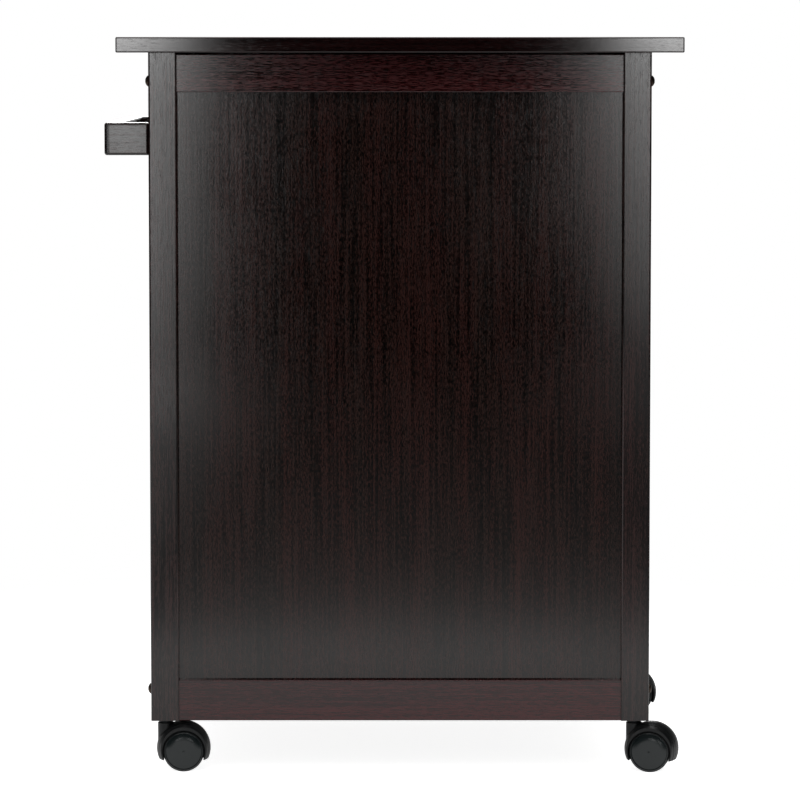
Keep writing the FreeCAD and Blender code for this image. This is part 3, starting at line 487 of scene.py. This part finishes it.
def wheel_nylon(name, centre, axle):
    """Glossy black nylon: rolled disc edge, faint turning rings, and a duller scuffed tread."""
    f = Finish(name)
    reach = f.node("ShaderNodeVectorMath", {"operation": "SUBTRACT"}, [f.placed, centre])
    along = f.node("ShaderNodeVectorMath", {"operation": "DOT_PRODUCT"}, [reach, axle], output="Value")
    length = f.node("ShaderNodeVectorMath", {"operation": "LENGTH"}, [reach], output="Value")
    radius = ((length * length - along * along).most(0.0)) ** 0.5
    tread = radius.above(WHEEL_DISC_RADIUS + 0.8 * MM, 0.4 * MM)
    grain = f.noise(f.even(SPARK_GRAIN_REPEATS), detail=2.0)
    flow = f.noise(f.even(60.0), detail=3.0, distortion=1.0)
    scuff = f.noise(f.even(700.0), detail=4.0, roughness=0.7).above(0.58, 0.08)
    rings = (radius * (math.tau / TURNING_PITCH)).wave() * radius.above(4.0 * MM, 2.0 * MM) * 0.5
    shade = f.mix(flow, rgba(shaded(NYLON, 0.8)), rgba(shaded(NYLON, 1.25)))
    shade = f.mix(tread, shade, f.mix(scuff, rgba(TREAD_TONES[0]), rgba(TREAD_TONES[1])))
    rough = flow * 0.06 + grain * 0.04 + tread * 0.20 + 0.19
    roll = ((radius - DISC_ROLL) / (WHEEL_DISC_RADIUS - DISC_ROLL)).most(0.0) ** 2.0
    fine = f.bump(rings * 0.25 + grain * (tread * 1.2 + 0.3) + scuff * tread, 0.2, 0.02 * MM)
    flatter = (radius * radius) * (0.8 / (2 * DISC_CURVE * DISC_ROLL_DROP))
    normal = f.bump((flatter - roll) * (1 - tread), 1.0, DISC_ROLL_DROP, fine)
    return f.done({"Base Color": shade, "Roughness": rough, "Normal": normal}, {"IOR": 1.53})


# Which finish goes on which piece

LOOKS = {
    # look: (tones, roughness, strength of the dashes, strength of the lines, dashes per metre)
    "post": (POST_TONES, 0.095, 0.6, 1.9, 160.0),
    "rail": (RAIL_TONES, 0.095, 1.2, 1.9, 95.0),
    # The bottom rails' look holds painted bounce light from the floor in its tones
    "bounce_lit_rail": (BOUNCE_LIT_RAIL_TONES, 0.095, 0.5, 1.2, 130.0),
    "panel": (PANEL_TONES, 0.095, 0.8, 1.45, 210.0),
    "board": (PANEL_TONES, 0.22, 0.8, 1.2, 210.0),
    "cleat": (POST_TONES, 0.24, 0.6, 1.9, 160.0),
    "worktop": (WORKTOP_TONES, 0.058, 0.5, 1.2, 130.0),
    "front": (FRONT_TONES, 0.13, 1.1, 1.7, 95.0),
    "door_frame": (FRONT_TONES, 0.15, 1.0, 1.5, 95.0),
}
STAINED = {
    # piece: (look, grain, axis through the plywood's layers)
    "post_front_left": ("post", Z, None),
    "post_front_right": ("post", Z, None),
    "post_back_left": ("post", Z, None),
    "post_back_right": ("post", Z, None),
    "side_rails": ("rail", Y, None),
    "side_panels": ("panel", Z, X),
    "back_top_rail": ("rail", X, None),
    "back_bottom_rail": ("bounce_lit_rail", X, None),
    "back_panel": ("panel", Z, Y),
    "front_top_rail": ("front", X, None),
    "front_middle_rail": ("front", X, None),
    "front_bottom_rail": ("bounce_lit_rail", X, None),
    "floor_board": ("board", X, Z),
    "shelf": ("board", X, Z),
    "worktop_cleats": ("cleat", Y, None),
    "towel_bar": ("post", Y, None),
    "towel_bar_arms": ("post", X, None),
    "drawer_front": ("front", X, None),
    "door_left_panel": ("panel", Z, Y),
    "door_right_panel": ("panel", Z, Y),
}
# Each piece reads its pattern this much farther on, so that no two look alike
STAIN_STEP, BARE_STEP = 0.37, 0.53
STILE_WIDTH = 45.0 * MM
WORKTOP_STAVE = 60.0 * MM
BARE = {"drawer_runners": Y, "frame_dowels": X, "drawer_sides": Y, "drawer_back": X}
BRONZE = ["frame_bolts", "drawer_knobs", "door_left_knob", "door_right_knob", "hinge_post_leaves",
          "hinge_pins", "door_left_hinge_leaves", "door_right_hinge_leaves"]
ZINC = ["barrel_nuts", "wood_screws", "shelf_pins", "door_left_strike", "door_right_strike"]
CASTERS = ["front_left", "front_right", "back_left", "back_right"]


def dress(name, material):
    slots = NODES[name].material_slots
    if slots:
        for slot in slots:
            slot.material = material
    else:
        NODES[name].data.materials.append(material)


def dress_frame():
    for turn, (name, (look, grain, ply)) in enumerate(STAINED.items()):
        dress(name, stained_wood(name + "_stain", look, grain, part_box(name), ply,
                                 shift=STAIN_STEP * (turn + 1)))
    for turn, (name, grain) in enumerate(BARE.items()):
        dress(name, bare_wood(name + "_wood", grain, shift=BARE_STEP * (turn + 1)))
    dress("drawer_bottom", bare_wood("drawer_bottom_ply", X, shift=4.1))
    dress("worktop", stained_wood("worktop_stain", "worktop", X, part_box("worktop"),
                                  stave=WORKTOP_STAVE, shift=2.9))
    for name in ("door_left_frame", "door_right_frame"):
        low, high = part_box(name)
        dress(name, stained_wood(name + "_stain", "door_frame", Z, (low, high),
                                 rails=(low.x + STILE_WIDTH, high.x - STILE_WIDTH), shift=5.3))


def dress_metal_and_plastic():
    bronze = plated("oiled_bronze")
    zinc = plated("bright_zinc")
    hood_plastic = moulded("hood_plastic", (0.0036, 0.0043, 0.0047), 0.32, grain_depth=0.09, ior=1.4)
    for name in BRONZE:
        dress(name, bronze)
    for name in ZINC:
        dress(name, zinc)
    black_zinc = plated("black_zinc")
    for name in ("caster_sockets", "caster_stems"):
        dress(name, black_zinc)
    dress("magnetic_catch", moulded("catch_plastic", (0.030, 0.017, 0.011), 0.38))
    for caster in CASTERS:
        dress(f"caster_{caster}_hood", hood_plastic)
        dress(f"caster_{caster}_axle", zinc)
    for joint in frame["joints"]:
        if joint["child"] in NODES and "_wheel_" in joint["child"]:
            dress(joint["child"], wheel_nylon(joint["child"] + "_nylon", tuple(joint["pos_m"]),
                                              tuple(joint["axis"])))


# Small screws, made by Geometry Nodes at marked points

def screw_tree(steel, shadow):
    """Countersunk cross-head screws, one at each point, turned to its facing attribute.

    They sit almost flush in plates without holes, so each head's shallow cross has a floor of
    painted shade: a dark sheet where the recess's shadow would fall. The exact solver is named
    because the default one leaves the heads open, and the merge takes out the slivers along the
    rim that the cone and the dome share.
    """
    tree = bpy.data.node_groups.new("small_screws", "GeometryNodeTree")
    tree.interface.new_socket("Points", in_out="INPUT", socket_type="NodeSocketGeometry")
    for label in SCREW_SIZES:
        tree.interface.new_socket(label, in_out="INPUT", socket_type="NodeSocketFloat")
    tree.interface.new_socket("Screws", in_out="OUTPUT", socket_type="NodeSocketGeometry")
    n = Nodes(tree)
    points, radius, rise, sink, slot, depth = [n.node("NodeGroupInput", output=i) for i in range(6)]

    def moved(mesh, z, scale=(1.0, 1.0, 1.0)):
        return n.node("GeometryNodeTransform", None,
                      {"Geometry": mesh, "Translation": n.join(0.0, 0.0, z), "Scale": scale})

    def boolean(operation, **meshes):
        return n.node("GeometryNodeMeshBoolean", {"operation": operation, "solver": "EXACT"},
                      {key.replace("_", " "): mesh for key, mesh in meshes.items()})

    cone = n.node("GeometryNodeMeshCone", {"fill_type": "NGON"},
                  {"Vertices": HEAD_SEGMENTS, "Side Segments": 1, "Radius Top": radius,
                   "Radius Bottom": radius * CONE_TAPER, "Depth": rise + sink})
    dome = n.node("GeometryNodeMeshUVSphere", None,
                  {"Segments": HEAD_SEGMENTS, "Rings": DOME_RINGS, "Radius": radius})
    head = boolean("UNION", Mesh_2=[moved(cone, sink * -1), moved(dome, rise, (1.0, 1.0, DOME_SQUASH))])
    bars = [n.node("GeometryNodeMeshCube", None, {"Size": n.join(long, wide, depth)})
            for long, wide in ((radius * SLOT_LENGTH, slot), (slot, radius * SLOT_LENGTH))]
    cross = boolean("UNION", Mesh_2=bars)
    cut = boolean("DIFFERENCE", Mesh_1=head, Mesh_2=[cross])
    # The cross sunk just under the head's top is painted shade, dark where the recess's shadow would be
    sunk = moved(cross, depth * -0.5 + SLOT_FLOOR, (INSET_SHRINK, INSET_SHRINK, 1.0))
    slot_shade_inset = n.node("GeometryNodeSetMaterial", None, {"Geometry": sunk, "Material": shadow})
    clean = n.node("GeometryNodeMergeByDistance", None, {"Geometry": cut, "Distance": SLIVER})
    screw = n.node("GeometryNodeJoinGeometry", None, {"Geometry": [clean, slot_shade_inset]})
    facing = n.node("GeometryNodeInputNamedAttribute", {"data_type": "FLOAT_VECTOR"}, {"Name": "facing"})
    turn = n.node("FunctionNodeAlignRotationToVector", {"axis": "Z"}, {"Vector": facing})
    twist = n.node("FunctionNodeRandomValue", {"data_type": "FLOAT"},
                   {"Min": 0.0, "Max": math.tau, "Seed": TURN_SEED}, output=1)
    spin = n.node("FunctionNodeEulerToRotation", None, [n.join(0.0, 0.0, twist)])
    turned = n.node("FunctionNodeRotateRotation", {"rotation_space": "LOCAL"}, [turn, spin])
    placed = n.node("GeometryNodeInstanceOnPoints", None,
                    {"Points": points, "Instance": screw, "Rotation": turned})
    real = n.node("GeometryNodeRealizeInstances", None, {"Geometry": placed})
    bare = 1 - n.node("GeometryNodeMaterialSelection", None, {"Material": shadow})
    finished = n.node("GeometryNodeSetMaterial", None,
                      {"Geometry": real, "Selection": bare, "Material": steel})
    n.node("NodeGroupOutput", None, [finished])
    return tree


def screws(name, body, places, tree, sizes):
    """One mesh of screws for one body. A place is a point and the way the head faces."""
    mesh = bpy.data.meshes.new(name + "_points")
    mesh.from_pydata([tuple(point) for point, _ in places], [], [])
    facing = mesh.attributes.new("facing", "FLOAT_VECTOR", "POINT")
    for index, (_, way) in enumerate(places):
        facing.data[index].vector = way
    marks = bpy.data.objects.new(name + "_points", mesh)
    bpy.context.scene.collection.objects.link(marks)
    modifier = marks.modifiers.new("small_screws", "NODES")
    modifier.node_group = tree
    for item in tree.interface.items_tree:
        if item.in_out == "INPUT" and item.name in sizes:
            modifier[item.identifier] = sizes[item.name]
    depsgraph = bpy.context.evaluated_depsgraph_get()
    made = bpy.data.meshes.new_from_object(marks.evaluated_get(depsgraph))
    marks.modifiers.remove(modifier)
    bpy.data.objects.remove(marks)
    piece = bpy.data.objects.new(name, made)
    bpy.context.scene.collection.objects.link(piece)
    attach(piece, body)
    return piece


def leaf_screws(side, on_post):
    """Three screws down each leaf of a door's hinges, on the face that shows when it is open."""
    places = []
    for middle in HINGE_HEIGHTS:
        for step in (-HINGE_SCREW_STEP, 0.0, HINGE_SCREW_STEP):
            x = side * (HINGE_POST_FACE if on_post else HINGE_DOOR_FACE) + CENTRE_SHIFT
            way = (-side if on_post else side, 0.0, 0.0)
            y = HINGE_SCREW_Y + (HINGE_SCREW_STAGGER if step == 0.0 else 0.0)
            places.append(((x, y, middle + step), way))
    return places


def fit_screws():
    """The screws of the hinges, the strikes and the catch."""
    slot_shadow = plated("screw_slot_shadow", metallic=0.0)
    bronze_tree = screw_tree(plated("bronzed_screws"), slot_shadow)
    zinc_tree = screw_tree(plated("zinc_screws"), slot_shadow)
    for side, name in ((-1, "left"), (1, "right")):
        screws(f"door_{name}_hinge_screws", f"door_{name}",
               leaf_screws(side, False), bronze_tree, SCREW_SIZES)
        low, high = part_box(f"door_{name}_strike")
        middle = (low + high) / 2
        reach = (high.x - low.x) / 2 - STRIKE_SCREW_INSET
        screws(f"door_{name}_strike_screws", f"door_{name}",
               [((middle.x + way * reach, high.y, middle.z), (0.0, 1.0, 0.0)) for way in (-1, 1)],
               zinc_tree, SMALL_SCREW_SIZES)
    screws("post_hinge_screws", "cart_body",
           [place for side in (-1, 1) for place in leaf_screws(side, True)],
           bronze_tree, SCREW_SIZES)
    low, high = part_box("magnetic_catch")
    screws("catch_screws", "cart_body",
           [((x, (low.y + high.y) / 2, low.z), (0.0, 0.0, -1.0))
            for x in (low.x + CATCH_SCREW_INSET, high.x - CATCH_SCREW_INSET)],
           zinc_tree, SCREW_SIZES)


# Photograph's view, floor and light

def camera():
    data = bpy.data.cameras.new("photo_camera")
    data.sensor_width = SENSOR_WIDTH / MM
    data.lens = FOCAL_PIXELS / PHOTO_WIDTH * data.sensor_width
    data.shift_y = CAMERA_SHIFT
    data.clip_start, data.clip_end = CAMERA_REACH
    eye = bpy.data.objects.new("photo_camera", data)
    eye.location = (CENTRE_SHIFT, BACK_FACE + CAMERA_DISTANCE, CAMERA_HEIGHT)
    eye.rotation_euler = (math.pi / 2 - CAMERA_PITCH, 0.0, math.pi)
    bpy.context.scene.collection.objects.link(eye)
    bpy.context.scene.camera = eye


def softbox(name, place, aim, size, radiance):
    """A rectangular lamp that looks towards aim, at a given brightness of its face."""
    data = bpy.data.lights.new(name, "AREA")
    data.shape = "RECTANGLE"
    data.size, data.size_y = size
    data.energy = radiance * math.pi * size[0] * size[1]
    lamp = bpy.data.objects.new(name, data)
    lamp.location = place
    lamp.rotation_euler = (Vector(aim) - Vector(place)).to_track_quat("-Z", "Y").to_euler()
    lamp.visible_camera = False
    bpy.context.scene.collection.objects.link(lamp)
    return data


def feathered(data, fade, mirrored):
    """Let a side softbox fade over its height and towards the cart's middle."""
    data.use_nodes = True
    n = Nodes(data.node_tree)
    across, up, _ = n.axes(n.node("ShaderNodeNewGeometry", output="Parametric"))
    across = 1 - across if mirrored else across
    (inner, outer), (bottom, top) = SOFTBOX_REACH, SOFTBOX_HEIGHTS
    share = n.table(across * (outer - inner) + inner, SOFTBOX_FEATHER)
    level = share * n.table(up * (top - bottom) + bottom, fade)
    glow = n.node("ShaderNodeEmission", None, {"Color": WHITE, "Strength": level})
    n.node("ShaderNodeOutputLight", None, {"Surface": glow})


def studio_lights():
    (inner, outer), (bottom, top) = SOFTBOX_REACH, SOFTBOX_HEIGHTS
    for way, side in ((1, "back"), (-1, "front")):
        for x, name, fade in ((1, "right", BAR_SIDE_FADE), (-1, "left", FAR_SIDE_FADE)):
            middle = (x * (inner + outer) / 2 + CENTRE_SHIFT, way * SOFTBOX_DISTANCE,
                      (bottom + top) / 2)
            lamp = softbox(f"{side}_{name}_softbox", middle, (middle[0] * SOFTBOX_TOE_IN, 0.0, middle[2]),
                           (outer - inner, top - bottom), 1.0)
            feathered(lamp, fade, mirrored=(x == way))
        softbox(f"{side}_boom_softbox", (CENTRE_SHIFT, way * BOOM_DISTANCE, BOOM_HEIGHT),
                (0.0, 0.0, BOOM_AIM), BOOM_SIZE, BOOM_RADIANCE)
    softbox("overhead_softbox", (0.0, 0.0, OVERHEAD_HEIGHT), (0.0, 0.0, 0.0), OVERHEAD_SIZE,
            OVERHEAD_RADIANCE)


def studio_world():
    """White to the camera. Mirrors see the backdrop from the horizon up, and a dark room below."""
    world = bpy.data.worlds.new("studio")
    world.use_nodes = True
    bpy.context.scene.world = world
    n = Nodes(world.node_tree)
    _, y, z = n.axes(n.node("ShaderNodeTexCoord", output="Generated"))
    band = z.above(0.0, HORIZON_SOFT) * (HORIZON_GLOSS - ROOM_GLOSS) + ROOM_GLOSS
    overhead, beyond = [1 - axis.above(edge, soft) * share
                        for axis, (edge, soft, share) in ((z, SKY_DIM), (y, BEYOND_DIM))]
    mirrored = n.ray("Glossy") * band * overhead * beyond
    seen = n.ray("Camera").most(n.ray("Transmission")).most(mirrored)
    level = seen.most(n.ray("Diffuse") * WORLD_FILL)
    sky = n.node("ShaderNodeBackground", None, {"Color": WHITE, "Strength": level})
    n.node("ShaderNodeOutputWorld", None, {"Surface": sky})


def floor():
    """White sweep under the cart, a little darker to the camera below the cart."""
    mesh = bpy.data.meshes.new("studio_floor")
    grid = bmesh.new()
    bmesh.ops.create_circle(grid, cap_ends=True, segments=FLOOR_SEGMENTS, radius=FLOOR_RADIUS)
    grid.to_mesh(mesh)
    grid.free()
    plane = bpy.data.objects.new("studio_floor", mesh)
    bpy.context.scene.collection.objects.link(plane)
    f = Finish("studio_floor_paper")
    x, y, _ = f.axes(f.raw_place)
    far = (x * x + y * y) ** 0.5
    # Painted light: the floor glows to mirrors as if lit by lamps, by distance from the cart and to either
    # side
    lit = f.table(abs(x), FLOOR_LIT) * (x.above(0.0, 0.02) * (1 - FAR_SIDE_SHARE) + FAR_SIDE_SHARE)
    near = f.table(far, FLOOR_FADE).most(lit * far.below(FLOOR_RADIUS * 0.9, 0.3))
    sweep = far.below(FLOOR_SWEEP, FLOOR_SWEEP * 0.6)
    glossy = f.ray("Glossy")
    dimmed = 1 - glossy * (1 - near)
    clear = f.ray("Camera").most(f.ray("Transmission")).most(glossy)
    tone = f.noise(f.even(3.0)) * 0.04 + 0.79
    paper = f.mix(sweep * dimmed, rgba((0.0, 0.0, 0.0)), f.ramp(tone, BLACK_TO_WHITE))
    glow = f.ramp(clear * (1 - sweep * FLOOR_SHADE) * dimmed, BLACK_TO_WHITE)
    f.done({"Base Color": paper, "Emission Color": glow},
           {"Emission Strength": 1.0, "Roughness": 0.9, "Specular IOR Level": 0.0})
    plane.data.materials.append(f.material)


dress_frame()
dress_metal_and_plastic()
fit_screws()
camera()
studio_lights()
studio_world()
floor()

scene = bpy.context.scene
scene.view_settings.view_transform = "Standard"
